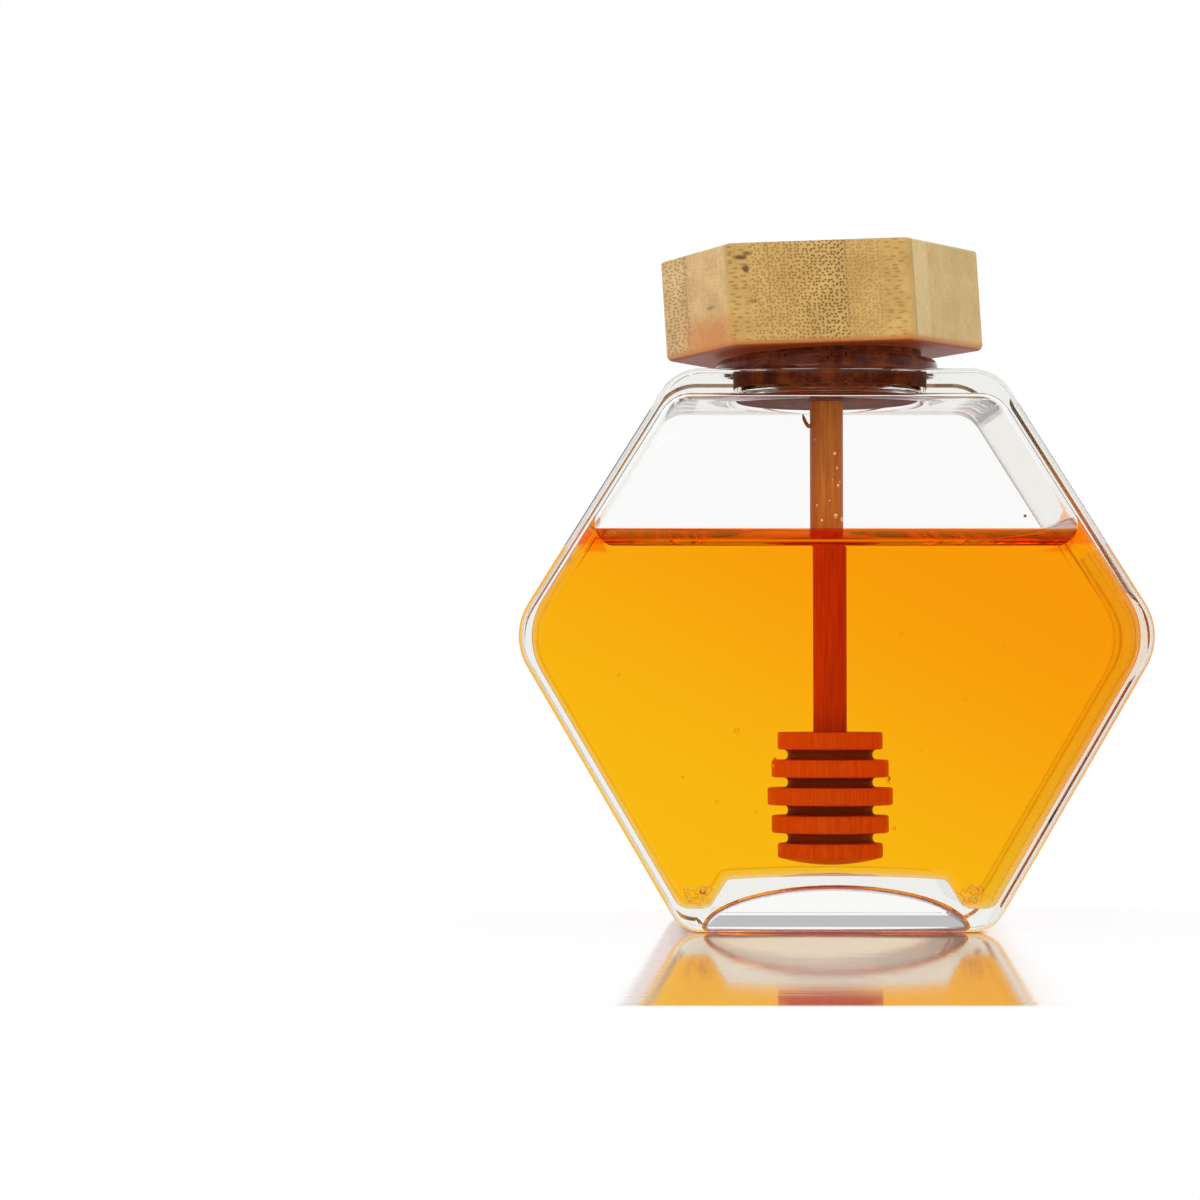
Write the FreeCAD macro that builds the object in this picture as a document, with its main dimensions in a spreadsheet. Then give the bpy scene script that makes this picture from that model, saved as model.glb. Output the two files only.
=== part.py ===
"""Hexagonal glass honey jar with a bamboo lid on a cork, filled with honey, and a turned wooden dipper.

Millimetres, +Z up. The origin is the middle of the resting face, the hexagonal front looks along -Y.
Sub-parts: glass_jar, honey, dipper, stopper and lid.
"""

import FreeCAD, Part

import math
import os

import Sketcher
from FreeCAD import Placement, Rotation, Vector

DIMENSIONS = {
    # glass, outside
    "body_width": 132.9,  # between the sharp side corners
    "base_width": 62.8,
    "shoulder_width": 65.2,
    "waist_height": 60.0,  # height of the side corners
    "shoulder_height": 114.0,
    "body_depth": 56.0,
    "waist_round": 12.5,
    "heel_round": 7.2,
    "shoulder_round": 9.6,
    "panel_round": 1.2,  # the crisp rims between the hexagonal panels and the six sides
    "neck_radius": 23.4,
    "neck_overlap": 3.0,  # how far the neck reaches down into the body
    "rim_height": 118.2,
    "neck_root_round": 1.8,
    "rim_round": 1.2,
    # glass, inside
    "side_wall": 2.1,
    "panel_wall": 2.5,
    "shoulder_wall": 4.8,
    "inner_waist_round": 14.0,
    "inner_heel_round": 3.0,
    "inner_shoulder_round": 7.0,
    "inner_panel_round": 1.8,
    "mouth_radius": 20.0,
    "mouth_root_round": 2.2,
    "mouth_flare": 0.8,
    # glass, the pushed-up base
    "pocket_height": 4.7,  # the floor at its two ends
    "plateau_height": 10.6,  # the raised floor between them, at its edges
    "plateau_crown": 0.7,  # how much higher it is in the middle
    "plateau_half_length": 22.2,
    "plateau_slope": 3.6,  # plan length of its sloped ends
    "plateau_round": 2.0,
    "pocket_round": 2.2,
    "punt_height": 9.2,  # the hollow is an elliptical arch from the front, with upright walls
    "punt_half_length": 27.4,
    "punt_half_width": 21.5,
    "punt_vault_round": 1.2,
    "punt_rim_round": 0.6,
    # honey
    "honey_level": 77.8,
    "meniscus_round": 4.8,
    "meniscus_bite": 0.12,  # how far the round would pass the glass if it went on
    # dipper
    "dipper_bottom": 12.6,
    "head_dome": 1.55,
    "middle_disc_radius": 13.0,
    "next_disc_radius": 12.15,
    "end_disc_radius": 10.9,
    "disc_thickness": 3.6,
    "lowest_disc_thickness": 2.95,  # at its rim, over the dome
    "slot_width": 2.15,
    "slot_core_radius": 8.8,
    "slot_round": 1.0,
    "disc_round": 0.45,
    "stick_radius": 3.5,
    "stick_top": 117.6,
    "dipper_offset": -0.1,
    # cork
    "cork_bottom": 109.6,
    "cork_gap": 0.05,
    "cork_taper": 0.8,
    "cork_straight_from": 112.0,
    "cork_round": 0.6,
    # lid, not quite symmetric as it is cut by hand
    "lid_width": 67.4,
    "lid_face_left": 20.3,  # the front and back faces, left and right of the middle
    "lid_face_right": 16.2,
    "lid_depth": 50.0,
    "lid_thickness": 21.2,
    "lid_skew": 1.6,  # degrees by which its sides lean to the left
    "lid_corner_round": 1.8,
    "lid_top_round": 0.7,
    "lid_bottom_round": 1.3,
    "lid_bottom": 119.4,  # at its middle
    "lid_offset": -0.2,
    "lid_tilt": 2.0,  # degrees by which it is glued to its cork out of level
}

DISCS = ("end", "next", "middle", "next", "end")

doc = FreeCAD.newDocument("hexagonal_honey_jar")


def make_sheet():
    """The spreadsheet of driving dimensions, one named cell each."""
    sheet = doc.addObject("Spreadsheet::Sheet", "dimensions")
    for row, (alias, value) in enumerate(DIMENSIONS.items(), start=1):
        sheet.set(f"A{row}", alias)
        sheet.set(f"B{row}", str(value))
        sheet.setAlias(f"B{row}", alias)
    doc.recompute()
    return sheet


sheet = make_sheet()


def size(alias):
    return float(sheet.get(alias))


def measure(expression):
    """The present value of an expression on the sheet."""
    return float(sheet.evalExpression(expression))


# ---------------------------------------------------------------- sketch helpers


def new_body(name):
    return doc.addObject("PartDesign::Body", name)


def origin_plane(body, role):
    return next(f for f in body.Origin.OriginFeatures if f.Role == role)


def new_sketch(body, name, plane="XZ_Plane"):
    """A sketch on one of the body's origin planes."""
    sketch = body.newObject("Sketcher::SketchObject", name)
    sketch.AttachmentSupport = [(origin_plane(body, plane), "")]
    sketch.MapMode = "FlatFace"
    return sketch


def bind(sketch, kind, *args, to):
    """Adds a dimension and binds it to an expression on the sheet."""
    index = sketch.addConstraint(Sketcher.Constraint(kind, *args, measure(to)))
    sketch.setExpression(f"Constraints[{index}]", to)


def relate(sketch, kind, *args):
    sketch.addConstraint(Sketcher.Constraint(kind, *args))


def polyline(sketch, points, closed=True, construction=False):
    """Joined straight lines through the points; returns their numbers."""
    ends = points[1:] + (points[:1] if closed else [])
    lines = []
    for start, end in zip(points, ends):
        segment = Part.LineSegment(Vector(*start, 0), Vector(*end, 0))
        lines.append(sketch.addGeometry(segment, construction))
    pairs = list(zip(lines, lines[1:])) + ([(lines[-1], lines[0])] if closed else [])
    for one, other in pairs:
        relate(sketch, "Coincident", one, 2, other, 1)
    return lines


def arc_between(sketch, start, through, finish):
    """An arc and the numbers of its left and right ends."""
    arc = sketch.addGeometry(Part.Arc(Vector(*start, 0), Vector(*through, 0), Vector(*finish, 0)))
    left, right = sorted((1, 2), key=lambda end: sketch.getPoint(arc, end).x)
    return arc, left, right


H_AXIS, V_AXIS, ROOT = -1, -2, (-1, 1)


def half_width_at(height):
    """Half the width of the sharp-cornered outline at a height, a first guess for what lies inside it."""
    base, waist, top = (size(f"{name}_width") / 2 for name in ("base", "body", "shoulder"))
    middle, high = size("waist_height"), size("shoulder_height")
    if height < middle:
        return base + (waist - base) * height / middle
    return waist + (top - waist) * (height - middle) / (high - middle)


def draw_outer_hexagon(sketch, construction=False):
    """The jar's outline: base, two lower sides, two upper sides and shoulder, symmetric about Z."""
    middle, high = size("waist_height"), size("shoulder_height")
    base, waist, top = half_width_at(0), half_width_at(middle), half_width_at(high)
    corners = [(-base, 0), (base, 0), (waist, middle), (top, high), (-top, high), (-waist, middle)]
    lines = polyline(sketch, corners, construction=construction)
    floor, lower_right, upper_right, shoulder, _, lower_left = lines
    relate(sketch, "Symmetric", floor, 1, floor, 2, V_AXIS)
    relate(sketch, "Symmetric", lower_right, 2, lower_left, 1, V_AXIS)
    relate(sketch, "Symmetric", shoulder, 1, shoulder, 2, V_AXIS)
    relate(sketch, "PointOnObject", floor, 1, H_AXIS)
    bind(sketch, "DistanceX", floor, 1, floor, 2, to="dimensions.base_width")
    bind(sketch, "DistanceX", lower_left, 1, lower_right, 2, to="dimensions.body_width")
    bind(sketch, "DistanceX", shoulder, 2, shoulder, 1, to="dimensions.shoulder_width")
    bind(sketch, "DistanceY", floor, 2, lower_right, 2, to="dimensions.waist_height")
    bind(sketch, "DistanceY", floor, 2, upper_right, 2, to="dimensions.shoulder_height")
    return lines


# ---------------------------------------------------------------- feature helpers


def pad_both_ways(body, name, sketch, depth):
    pad = body.newObject("PartDesign::Pad", name)
    pad.Profile = sketch
    pad.Midplane = True
    pad.setExpression("Length", depth)
    doc.recompute()
    return pad


def revolve(body, name, sketch):
    """A full turn about the sketch's vertical axis."""
    feature = body.newObject("PartDesign::Revolution", name)
    feature.Profile = sketch
    feature.ReferenceAxis = (sketch, ["V_Axis"])
    feature.Angle = 360.0
    doc.recompute()
    return feature


def edges_where(feature, test):
    """Names of the feature's edges whose middle point and edge pass the test."""
    found = []
    for number, edge in enumerate(feature.Shape.Edges, start=1):
        middle = edge.valueAt((edge.FirstParameter + edge.LastParameter) / 2)
        if test(middle, edge):
            found.append(f"Edge{number}")
    return found


def round_edges(body, name, base, names, radius):
    fillet = body.newObject("PartDesign::Fillet", name)
    fillet.Base = (base, names)
    fillet.setExpression("Radius", radius)
    doc.recompute()
    return fillet


def along_y(edge):
    ends = [v.Point for v in edge.Vertexes]
    return len(ends) == 2 and abs(ends[0].x - ends[1].x) < 0.5 and abs(ends[0].y - ends[1].y) > 20


def near(value, target, slack=0.01):
    return abs(value - target) < slack


def circle_radius(edge):
    """The edge's radius, or 0 if it is no circle."""
    return 0 if edge.Degenerated else getattr(edge.Curve, "Radius", 0)


def circles(feature, radius, height=None):
    """Names of the feature's round edges of a radius, at one height if it is given."""
    return edges_where(
        feature, lambda m, e: near(circle_radius(e), radius) and (height is None or near(m.z, height))
    )


def cut(name, base, tool):
    result = doc.addObject("Part::Cut", name)
    result.Base = base
    result.Tool = tool
    doc.recompute()
    return result


# ---------------------------------------------------------------- glass


def make_glass_outside():
    """The solid block of the jar: filleted hexagonal body, round neck and hollow under the base."""
    body = new_body("jar_outside")
    outline = new_sketch(body, "jar_outline")
    draw_outer_hexagon(outline)
    feature = pad_both_ways(body, "jar_block", outline, "dimensions.body_depth")

    for name, height, radius in (
        ("waist_corners", size("waist_height"), "waist_round"),
        ("heel_corners", 0.0, "heel_round"),
        ("shoulder_corners", size("shoulder_height"), "shoulder_round"),
    ):
        corners = edges_where(feature, lambda m, e: along_y(e) and near(m.z, height))
        feature = round_edges(body, name, feature, corners, f"dimensions.{radius}")

    half_depth = size("body_depth") / 2
    rims = edges_where(feature, lambda m, e: near(abs(m.y), half_depth))
    feature = round_edges(body, "panel_edges", feature, rims, "dimensions.panel_round")

    radius, rim, shoulder = size("neck_radius"), size("rim_height"), size("shoulder_height")
    root = shoulder - size("neck_overlap")
    ring = new_sketch(body, "neck_profile")
    lines = polyline(ring, [(0, root), (radius, root), (radius, rim), (0, rim)])
    relate(ring, "PointOnObject", lines[0], 1, V_AXIS)
    relate(ring, "Vertical", lines[3])
    relate(ring, "Vertical", lines[1])
    relate(ring, "Horizontal", lines[0])
    relate(ring, "Horizontal", lines[2])
    bind(ring, "Distance", lines[0], to="dimensions.neck_radius")
    bind(ring, "DistanceY", *ROOT, lines[0], 1, to="dimensions.shoulder_height - dimensions.neck_overlap")
    bind(ring, "DistanceY", *ROOT, lines[2], 1, to="dimensions.rim_height")
    neck = revolve(body, "neck", ring)
    feature = round_edges(
        body, "neck_root", neck, circles(neck, radius, shoulder), "dimensions.neck_root_round"
    )
    round_edges(body, "neck_rim", feature, circles(feature, radius, rim), "dimensions.rim_round")

    arch = new_sketch(body, "punt_arch")
    draw_arch(arch)
    hollow = body.newObject("PartDesign::Pocket", "punt")
    hollow.Profile = arch
    hollow.Midplane = True
    hollow.setExpression("Length", "2 * dimensions.punt_half_width")
    doc.recompute()
    width = size("punt_half_width")
    vault = edges_where(hollow, lambda m, e: near(abs(m.y), width) and near(m.z, size("punt_height")))
    hollow = round_edges(body, "punt_vault", hollow, vault, "dimensions.punt_vault_round")
    reach = size("punt_half_length") + size("punt_rim_round")
    lip = edges_where(hollow, lambda m, e: near(m.z, 0) and abs(m.x) < reach and abs(m.y) < width + 1)
    round_edges(body, "punt_rim", hollow, lip, "dimensions.punt_rim_round")
    return body


def draw_arch(sketch):
    """Half an ellipse standing on the table."""
    length, height = size("punt_half_length"), size("punt_height")
    crest = sketch.addGeometry(Part.ArcOfEllipse(Part.Ellipse(Vector(), length, height), 0, math.pi))
    sketch.exposeInternalGeometry(crest)
    long_axis, short_axis = crest + 1, crest + 2
    foot = sketch.addGeometry(Part.LineSegment(Vector(-length, 0, 0), Vector(length, 0, 0)))
    relate(sketch, "Coincident", crest, 1, foot, 2)
    relate(sketch, "Coincident", crest, 2, foot, 1)
    relate(sketch, "Coincident", crest, 3, *ROOT)
    relate(sketch, "Horizontal", long_axis)
    relate(sketch, "PointOnObject", foot, 1, H_AXIS)
    relate(sketch, "PointOnObject", foot, 2, H_AXIS)
    bind(sketch, "Distance", long_axis, to="2 * dimensions.punt_half_length")
    bind(sketch, "Distance", short_axis, to="2 * dimensions.punt_height")


def draw_cavity(sketch):
    """The inside of the jar seen from the front: a raised floor with a pocket at each end."""
    walls = draw_outer_hexagon(sketch, construction=True)
    wall = size("side_wall")
    low, plateau, middle = size("pocket_height"), size("plateau_height"), size("waist_height")
    high = size("shoulder_height") - size("shoulder_wall")
    foot, waist, top = (half_width_at(height) - wall for height in (low, middle, high))
    ledge = size("plateau_half_length")
    toe = ledge + size("plateau_slope")
    lines = polyline(
        sketch,
        [(ledge, plateau), (toe, low), (foot, low), (waist, middle), (top, high),
         (-top, high), (-waist, middle), (-foot, low), (-toe, low), (-ledge, plateau)],
        closed=False,
    )
    right_slope, right_pocket, left_pocket, left_slope = lines[0], lines[1], lines[7], lines[8]
    thickness = ("side_wall", "side_wall", "shoulder_wall", "side_wall", "side_wall")
    for own, outer, alias in zip(lines[2:7], walls[1:], thickness):
        relate(sketch, "Parallel", own, outer)
        bind(sketch, "Distance", own, 1, outer, to=f"dimensions.{alias}")
    for pocket in (right_pocket, left_pocket):
        relate(sketch, "Horizontal", pocket)
        bind(sketch, "DistanceY", *ROOT, pocket, 1, to="dimensions.pocket_height")
    bind(sketch, "DistanceY", *ROOT, right_slope, 1, to="dimensions.plateau_height")
    relate(sketch, "Symmetric", right_slope, 1, left_slope, 2, V_AXIS)
    bind(sketch, "DistanceX", *ROOT, right_slope, 1, to="dimensions.plateau_half_length")
    bind(sketch, "DistanceX", right_slope, 1, right_slope, 2, to="dimensions.plateau_slope")
    bind(sketch, "DistanceX", left_slope, 1, left_slope, 2, to="dimensions.plateau_slope")

    crown = plateau + size("plateau_crown")
    arch, left, right = arc_between(sketch, (-ledge, plateau), (0, crown), (ledge, plateau))
    relate(sketch, "Coincident", arch, left, left_slope, 2)
    relate(sketch, "Coincident", arch, right, right_slope, 1)
    keystone = sketch.addGeometry(Part.Point(Vector(0, crown, 0)), True)
    relate(sketch, "PointOnObject", keystone, 1, V_AXIS)
    relate(sketch, "PointOnObject", keystone, 1, arch)
    bind(sketch, "DistanceY", *ROOT, keystone, 1,
         to="dimensions.plateau_height + dimensions.plateau_crown")


def make_cavity():
    """The space inside the jar and the mouth through the neck."""
    body = new_body("jar_inside")
    outline = new_sketch(body, "cavity_outline")
    draw_cavity(outline)
    feature = pad_both_ways(
        body, "cavity_block", outline, "dimensions.body_depth - 2 * dimensions.panel_wall"
    )

    low, plateau = size("pocket_height"), size("plateau_height")
    high = size("shoulder_height") - size("shoulder_wall")
    toe = size("plateau_half_length") + size("plateau_slope")
    for name, radius, test in (
        ("inner_waist_corners", "inner_waist_round", lambda m: near(m.z, size("waist_height"), 1)),
        ("inner_shoulder_corners", "inner_shoulder_round", lambda m: near(m.z, high)),
        ("inner_heel_corners", "inner_heel_round", lambda m: near(m.z, low) and abs(m.x) > toe + 1),
        ("pocket_corners", "pocket_round", lambda m: near(m.z, low) and near(abs(m.x), toe)),
        ("plateau_corners", "plateau_round", lambda m: near(m.z, plateau)),
    ):
        corners = edges_where(feature, lambda m, e: along_y(e) and test(m))
        feature = round_edges(body, name, feature, corners, f"dimensions.{radius}")

    half_depth = size("body_depth") / 2 - size("panel_wall")
    rims = edges_where(feature, lambda m, e: near(abs(m.y), half_depth))
    feature = round_edges(body, "inner_panel_edges", feature, rims, "dimensions.inner_panel_round")

    bore = new_sketch(body, "mouth_profile")
    radius, rim, flare = size("mouth_radius"), size("rim_height"), size("mouth_flare")
    root, reach = high - size("neck_overlap"), flare + 1
    lines = polyline(
        bore, [(0, root), (radius, root), (radius, rim - flare), (radius + reach, rim + 1), (0, rim + 1)]
    )
    relate(bore, "PointOnObject", lines[0], 1, V_AXIS)
    relate(bore, "Horizontal", lines[0])
    relate(bore, "Vertical", lines[1])
    relate(bore, "Horizontal", lines[3])
    relate(bore, "Vertical", lines[4])
    bind(bore, "Distance", lines[0], to="dimensions.mouth_radius")
    bind(bore, "DistanceY", *ROOT, lines[0], 1,
         to="dimensions.shoulder_height - dimensions.shoulder_wall - dimensions.neck_overlap")
    bind(bore, "DistanceY", *ROOT, lines[1], 2, to="dimensions.rim_height - dimensions.mouth_flare")
    bind(bore, "DistanceY", lines[2], 1, lines[2], 2, to="dimensions.mouth_flare + 1")
    bind(bore, "DistanceX", lines[2], 1, lines[2], 2, to="dimensions.mouth_flare + 1")
    mouth = revolve(body, "mouth", bore)
    round_edges(body, "mouth_root", mouth, circles(mouth, radius, high), "dimensions.mouth_root_round")
    return body


# ---------------------------------------------------------------- honey


def make_headspace():
    """The space over the honey: it bites into the glass, so its rounded lower edges leave a meniscus."""
    body = new_body("headspace")
    outline = new_sketch(body, "headspace_outline")
    walls = draw_outer_hexagon(outline, construction=True)
    level, shoulder, top = size("honey_level"), size("shoulder_height"), size("rim_height") + 5
    inset = size("side_wall") - size("meniscus_bite")
    low, high = half_width_at(level) - inset, half_width_at(shoulder) - inset
    lines = polyline(
        outline,
        [(-low, level), (low, level), (high, shoulder), (high, top), (-high, top), (-high, shoulder)],
    )
    relate(outline, "Horizontal", lines[0])
    relate(outline, "Vertical", lines[2])
    relate(outline, "Horizontal", lines[3])
    relate(outline, "Vertical", lines[4])
    for own, end, outer in ((lines[1], 1, walls[2]), (lines[5], 2, walls[4])):
        relate(outline, "Parallel", own, outer)
        bind(outline, "Distance", own, end, outer, to="dimensions.side_wall - dimensions.meniscus_bite")
    bind(outline, "DistanceY", *ROOT, lines[0], 1, to="dimensions.honey_level")
    bind(outline, "DistanceY", *ROOT, lines[1], 2, to="dimensions.shoulder_height")
    bind(outline, "DistanceY", *ROOT, lines[4], 2, to="dimensions.shoulder_height")
    bind(outline, "DistanceY", *ROOT, lines[3], 1, to="dimensions.rim_height + 5")
    depth = "dimensions.body_depth - 2 * (dimensions.panel_wall - dimensions.meniscus_bite)"
    block = pad_both_ways(body, "headspace_block", outline, depth)
    edges = edges_where(block, lambda m, e: near(m.z, level))
    round_edges(body, "meniscus", block, edges, "dimensions.meniscus_round")
    return body


# ---------------------------------------------------------------- dipper


def make_dipper():
    """Turned from one piece of wood: a thin stick and a barrel head of discs between round-bottomed slots."""
    body = new_body("dipper")
    profile = new_sketch(body, "turning_profile")
    foot = "dimensions.dipper_bottom"
    rim = f"{foot} + dimensions.head_dome"
    lowest_top = f"{rim} + dimensions.lowest_disc_thickness"
    pitch = "(dimensions.disc_thickness + dimensions.slot_width)"

    # Each step is a straight stretch of the profile: its radius and the height of its upper end.
    steps = []
    for number, disc in enumerate(DISCS):
        disc_top = f"{lowest_top} + {number} * {pitch}"
        steps.append((f"dimensions.{disc}_disc_radius", disc_top))
        steps.append(("dimensions.slot_core_radius", f"{disc_top} + dimensions.slot_width"))
    steps[-1] = ("dimensions.stick_radius", "dimensions.stick_top")

    low, high, end = measure(foot), measure(rim), size("end_disc_radius")
    points = [(end, high)]
    for (radius, height), (next_radius, _) in zip(steps, steps[1:] + [("0", "")]):
        points.append((measure(radius), measure(height)))
        points.append((measure(next_radius), measure(height)))
    points.append((0, low))
    lines = polyline(profile, points, closed=False)
    for (radius, height), upright, level in zip(steps, lines[0::2], lines[1::2]):
        relate(profile, "Vertical", upright)
        relate(profile, "Horizontal", level)
        bind(profile, "DistanceX", *ROOT, upright, 2, to=radius)
        bind(profile, "DistanceY", *ROOT, level, 1, to=height)
    axis = lines[-1]
    relate(profile, "PointOnObject", axis, 1, V_AXIS)
    relate(profile, "PointOnObject", axis, 2, V_AXIS)
    bind(profile, "DistanceY", *ROOT, axis, 2, to=foot)
    bind(profile, "DistanceY", *ROOT, lines[0], 1, to=rim)

    # The dome is level at the axis, where its centre lies.
    dome, inner, outer = arc_between(profile, (0, low), (end / 2, low + (high - low) / 4), (end, high))
    relate(profile, "Coincident", dome, inner, axis, 2)
    relate(profile, "Coincident", dome, outer, lines[0], 1)
    relate(profile, "PointOnObject", dome, 3, V_AXIS)
    blank = revolve(body, "turned_blank", profile)

    slots = round_edges(
        body, "slot_bottoms", blank, circles(blank, size("slot_core_radius")), "dimensions.slot_round"
    )
    rims = edges_where(slots, lambda m, e: circle_radius(e) > size("end_disc_radius") - size("disc_round"))
    round_edges(body, "disc_rims", slots, rims, "dimensions.disc_round")
    body.setExpression("Placement.Base.x", "dimensions.dipper_offset")
    return body


# ---------------------------------------------------------------- stopper and lid


def make_lid():
    """A block of glued bamboo strips, a stretched hexagon in plan, with its edges eased."""
    body = new_body("lid")
    plan = new_sketch(body, "lid_plan", plane="XY_Plane")
    side, half = size("lid_width") / 2, size("lid_depth") / 2
    left, right = size("lid_face_left"), size("lid_face_right")
    lines = polyline(
        plan, [(-left, -half), (right, -half), (side, 0), (right, half), (-left, half), (-side, 0)]
    )
    front, right_front, back, left_back = lines[0], lines[1], lines[3], lines[4]
    relate(plan, "Horizontal", front)
    relate(plan, "Symmetric", front, 1, back, 2, H_AXIS)
    relate(plan, "Symmetric", front, 2, back, 1, H_AXIS)
    relate(plan, "PointOnObject", right_front, 2, H_AXIS)
    relate(plan, "Symmetric", right_front, 2, left_back, 2, *ROOT)
    bind(plan, "DistanceX", front, 1, *ROOT, to="dimensions.lid_face_left")
    bind(plan, "DistanceX", *ROOT, front, 2, to="dimensions.lid_face_right")
    bind(plan, "DistanceX", left_back, 2, right_front, 2, to="dimensions.lid_width")
    bind(plan, "DistanceY", front, 2, back, 1, to="dimensions.lid_depth")
    block = body.newObject("PartDesign::Pad", "lid_block")
    block.Profile = plan
    block.UseCustomVector = True
    block.Direction = Vector(-math.tan(math.radians(size("lid_skew"))), 0, 1)
    block.AlongSketchNormal = True
    block.setExpression("Length", "dimensions.lid_thickness")
    doc.recompute()
    thickness = size("lid_thickness")
    for name, height, radius in (
        ("lid_corners", thickness / 2, "lid_corner_round"),
        ("lid_top_rim", thickness, "lid_top_round"),
        ("lid_bottom_rim", 0, "lid_bottom_round"),
    ):
        edges = edges_where(block, lambda m, e: near(m.z, height))
        block = round_edges(body, name, block, edges, f"dimensions.{radius}")
    tilt = Rotation(Vector(0, 1, 0), -size("lid_tilt"))
    body.Placement = Placement(Vector(size("lid_offset"), 0, size("lid_bottom")), tilt)
    body.setExpression("Placement.Base.x", "dimensions.lid_offset")
    body.setExpression("Placement.Base.z", "dimensions.lid_bottom")
    return body


def make_cork():
    """The plug in the mouth, with a tapered lower end, drawn up into the lid."""
    body = new_body("cork_blank")
    profile = new_sketch(body, "cork_profile")
    low, straight, top = size("cork_bottom"), size("cork_straight_from"), size("lid_bottom") + 4
    wide = size("mouth_radius") - size("cork_gap")
    narrow = wide - size("cork_taper")
    lines = polyline(profile, [(0, low), (narrow, low), (wide, straight), (wide, top), (0, top)])
    relate(profile, "PointOnObject", lines[0], 1, V_AXIS)
    relate(profile, "Horizontal", lines[0])
    relate(profile, "Vertical", lines[2])
    relate(profile, "Horizontal", lines[3])
    relate(profile, "Vertical", lines[4])
    bind(profile, "DistanceX", *ROOT, lines[0], 2,
         to="dimensions.mouth_radius - dimensions.cork_gap - dimensions.cork_taper")
    bind(profile, "DistanceX", *ROOT, lines[2], 1, to="dimensions.mouth_radius - dimensions.cork_gap")
    bind(profile, "DistanceY", *ROOT, lines[0], 1, to="dimensions.cork_bottom")
    bind(profile, "DistanceY", *ROOT, lines[2], 1, to="dimensions.cork_straight_from")
    bind(profile, "DistanceY", *ROOT, lines[3], 1, to="dimensions.lid_bottom + 4")
    plug = revolve(body, "plug", profile)
    round_edges(body, "plug_rim", plug, circles(plug, narrow, low), "dimensions.cork_round")
    return body


# ---------------------------------------------------------------- the whole jar


def check_document():
    """Stops on any object that failed, so that nothing broken is written."""
    for item in doc.Objects:
        if "Invalid" in item.State or "Error" in item.State:
            raise RuntimeError(f"{item.Label} failed: {item.State}")


cavity = make_cavity()
dipper = make_dipper()
lid = make_lid()
filled = cut("honey_without_dipper", cavity, make_headspace())
corked = cut("cork_under_lid", make_cork(), lid)
PARTS = {
    "glass_jar": cut("glass_jar", make_glass_outside(), cavity),
    "honey": cut("honey", filled, dipper),
    "dipper": dipper,
    "stopper": cut("stopper", corked, dipper),
    "lid": lid,
}
doc.recompute()
check_document()

os.makedirs("parts", exist_ok=True)
for node, part in PARTS.items():
    part.Label = node
    shape = part.Shape
    if shape.isNull() or not shape.isValid() or len(shape.Solids) != 1:
        raise RuntimeError(f"{node} is not one valid solid")
    box = shape.optimalBoundingBox()
    print(f"{node}: {shape.Volume / 1000:.1f} ml, {box.XLength:.1f} x {box.YLength:.1f} x {box.ZLength:.1f} mm")
    shape.exportStep(f"parts/{node}.step")
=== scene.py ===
"""Looks of the hexagonal honey jar: glass, honey, turned dipper, cork and bamboo lid, on a white table.

The scene is in metres. Lengths written here are millimetres, apart from those of the camera once placed, the
lamp and the floor's radius, which are metres.
"""

import math
import random

import bmesh
import bpy
import numpy as np
from mathutils import Matrix, Vector


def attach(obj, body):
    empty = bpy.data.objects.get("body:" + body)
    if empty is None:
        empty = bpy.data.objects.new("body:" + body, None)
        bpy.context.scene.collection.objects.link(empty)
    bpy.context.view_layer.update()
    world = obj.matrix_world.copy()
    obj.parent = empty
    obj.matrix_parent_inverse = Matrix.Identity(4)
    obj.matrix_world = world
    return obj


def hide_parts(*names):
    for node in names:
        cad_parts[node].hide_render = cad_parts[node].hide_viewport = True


MM = 0.001

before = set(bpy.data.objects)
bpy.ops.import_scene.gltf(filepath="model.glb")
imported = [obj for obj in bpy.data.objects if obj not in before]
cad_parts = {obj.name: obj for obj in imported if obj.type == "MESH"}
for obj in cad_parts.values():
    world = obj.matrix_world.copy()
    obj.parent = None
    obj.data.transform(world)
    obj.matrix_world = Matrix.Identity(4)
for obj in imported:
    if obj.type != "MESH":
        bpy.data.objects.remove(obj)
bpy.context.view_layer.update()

# ---------------------------------------------------------------- sizes worked out from the frame


def node_box(name):
    """Lowest and highest corner of a CAD node, in millimetres."""
    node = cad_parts[name]
    corners = np.array([node.matrix_world @ vertex.co for vertex in node.data.vertices])
    return Vector(corners.min(axis=0)) / MM, Vector(corners.max(axis=0)) / MM


_, HONEY_HIGH = node_box("honey")
DIPPER_LOW, DIPPER_HIGH = node_box("dipper")
LID_LOW, _ = node_box("lid")
CORK_LOW, CORK_HIGH = node_box("stopper")

WET_LINE = HONEY_HIGH.z - 6.4  # the honey's level, below its meniscus
STICK_AT = (DIPPER_LOW.x + DIPPER_HIGH.x) / 2
STICK_RADIUS = 3.5
HEAD_TOP = DIPPER_LOW.z + 27.5  # where the dipper's head ends and its stick begins

# ---------------------------------------------------------------- camera

CAMERA_AT = Vector((-47.9, -650.0, 48.0)) * MM
CAMERA_TILT = 1.747  # degrees above level
SENSOR = 36.0  # millimetres, like the lens
LENS = 92.43


def add_camera():
    data = bpy.data.cameras.new("camera")
    data.sensor_width = SENSOR
    data.lens = LENS
    data.clip_start = 0.01
    data.clip_end = 50.0
    camera = bpy.data.objects.new("camera", data)
    camera.location = CAMERA_AT
    camera.rotation_euler = (math.radians(90.0 + CAMERA_TILT), 0.0, 0.0)
    bpy.context.scene.collection.objects.link(camera)
    bpy.context.scene.camera = camera


# ---------------------------------------------------------------- node helpers


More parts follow.
